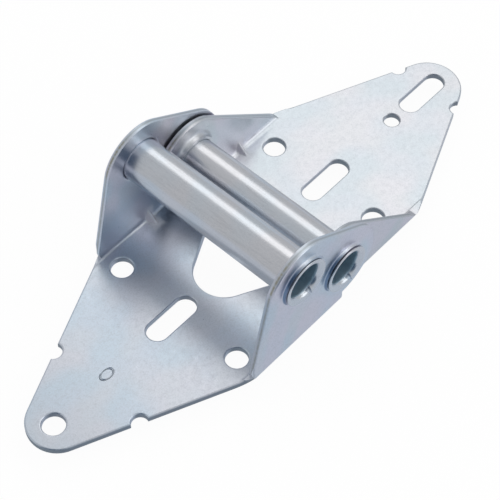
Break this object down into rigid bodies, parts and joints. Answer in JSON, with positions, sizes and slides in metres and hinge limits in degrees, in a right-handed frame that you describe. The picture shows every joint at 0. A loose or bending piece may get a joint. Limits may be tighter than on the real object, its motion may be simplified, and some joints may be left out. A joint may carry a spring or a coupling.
{
  "type": "garage door hinge",
  "caption": "Double-tube sectional door hinge: two tapered sheet leaves with folded ears, swinging on one tube, with a second tube above for a roller stem.",
  "frame": {"origin": "on the axis of the pivot tube, at mid-width of the hinge", "axes": "+X runs along the flat leaves towards the tip of the upper leaf, +Y along both tubes, +Z away from the door panel; the mounting faces lie at z = -19.4 mm"},
  "size_m": [0.1896, 0.0694, 0.046],
  "materials": {
    "zinc_sheet": "bright clear zinc plate on stamped sheet, faint blue and pink tint",
    "zinc_tube": "bright clear zinc plate on rolled tube"
  },
  "bodies": {
    "lower_leaf_body": {"lower_leaf": "zinc_sheet", "roller_tube": "zinc_tube", "pivot_tube": "zinc_tube"},
    "upper_leaf_body": {"upper_leaf": "zinc_sheet"}
  },
  "joints": [
    {"name": "fold", "type": "hinge", "parent": "lower_leaf_body", "child": "upper_leaf_body", "pos_m": [0, 0, 0], "axis": [0, -1, 0], "range_deg": [-3, 115]}
  ]
}
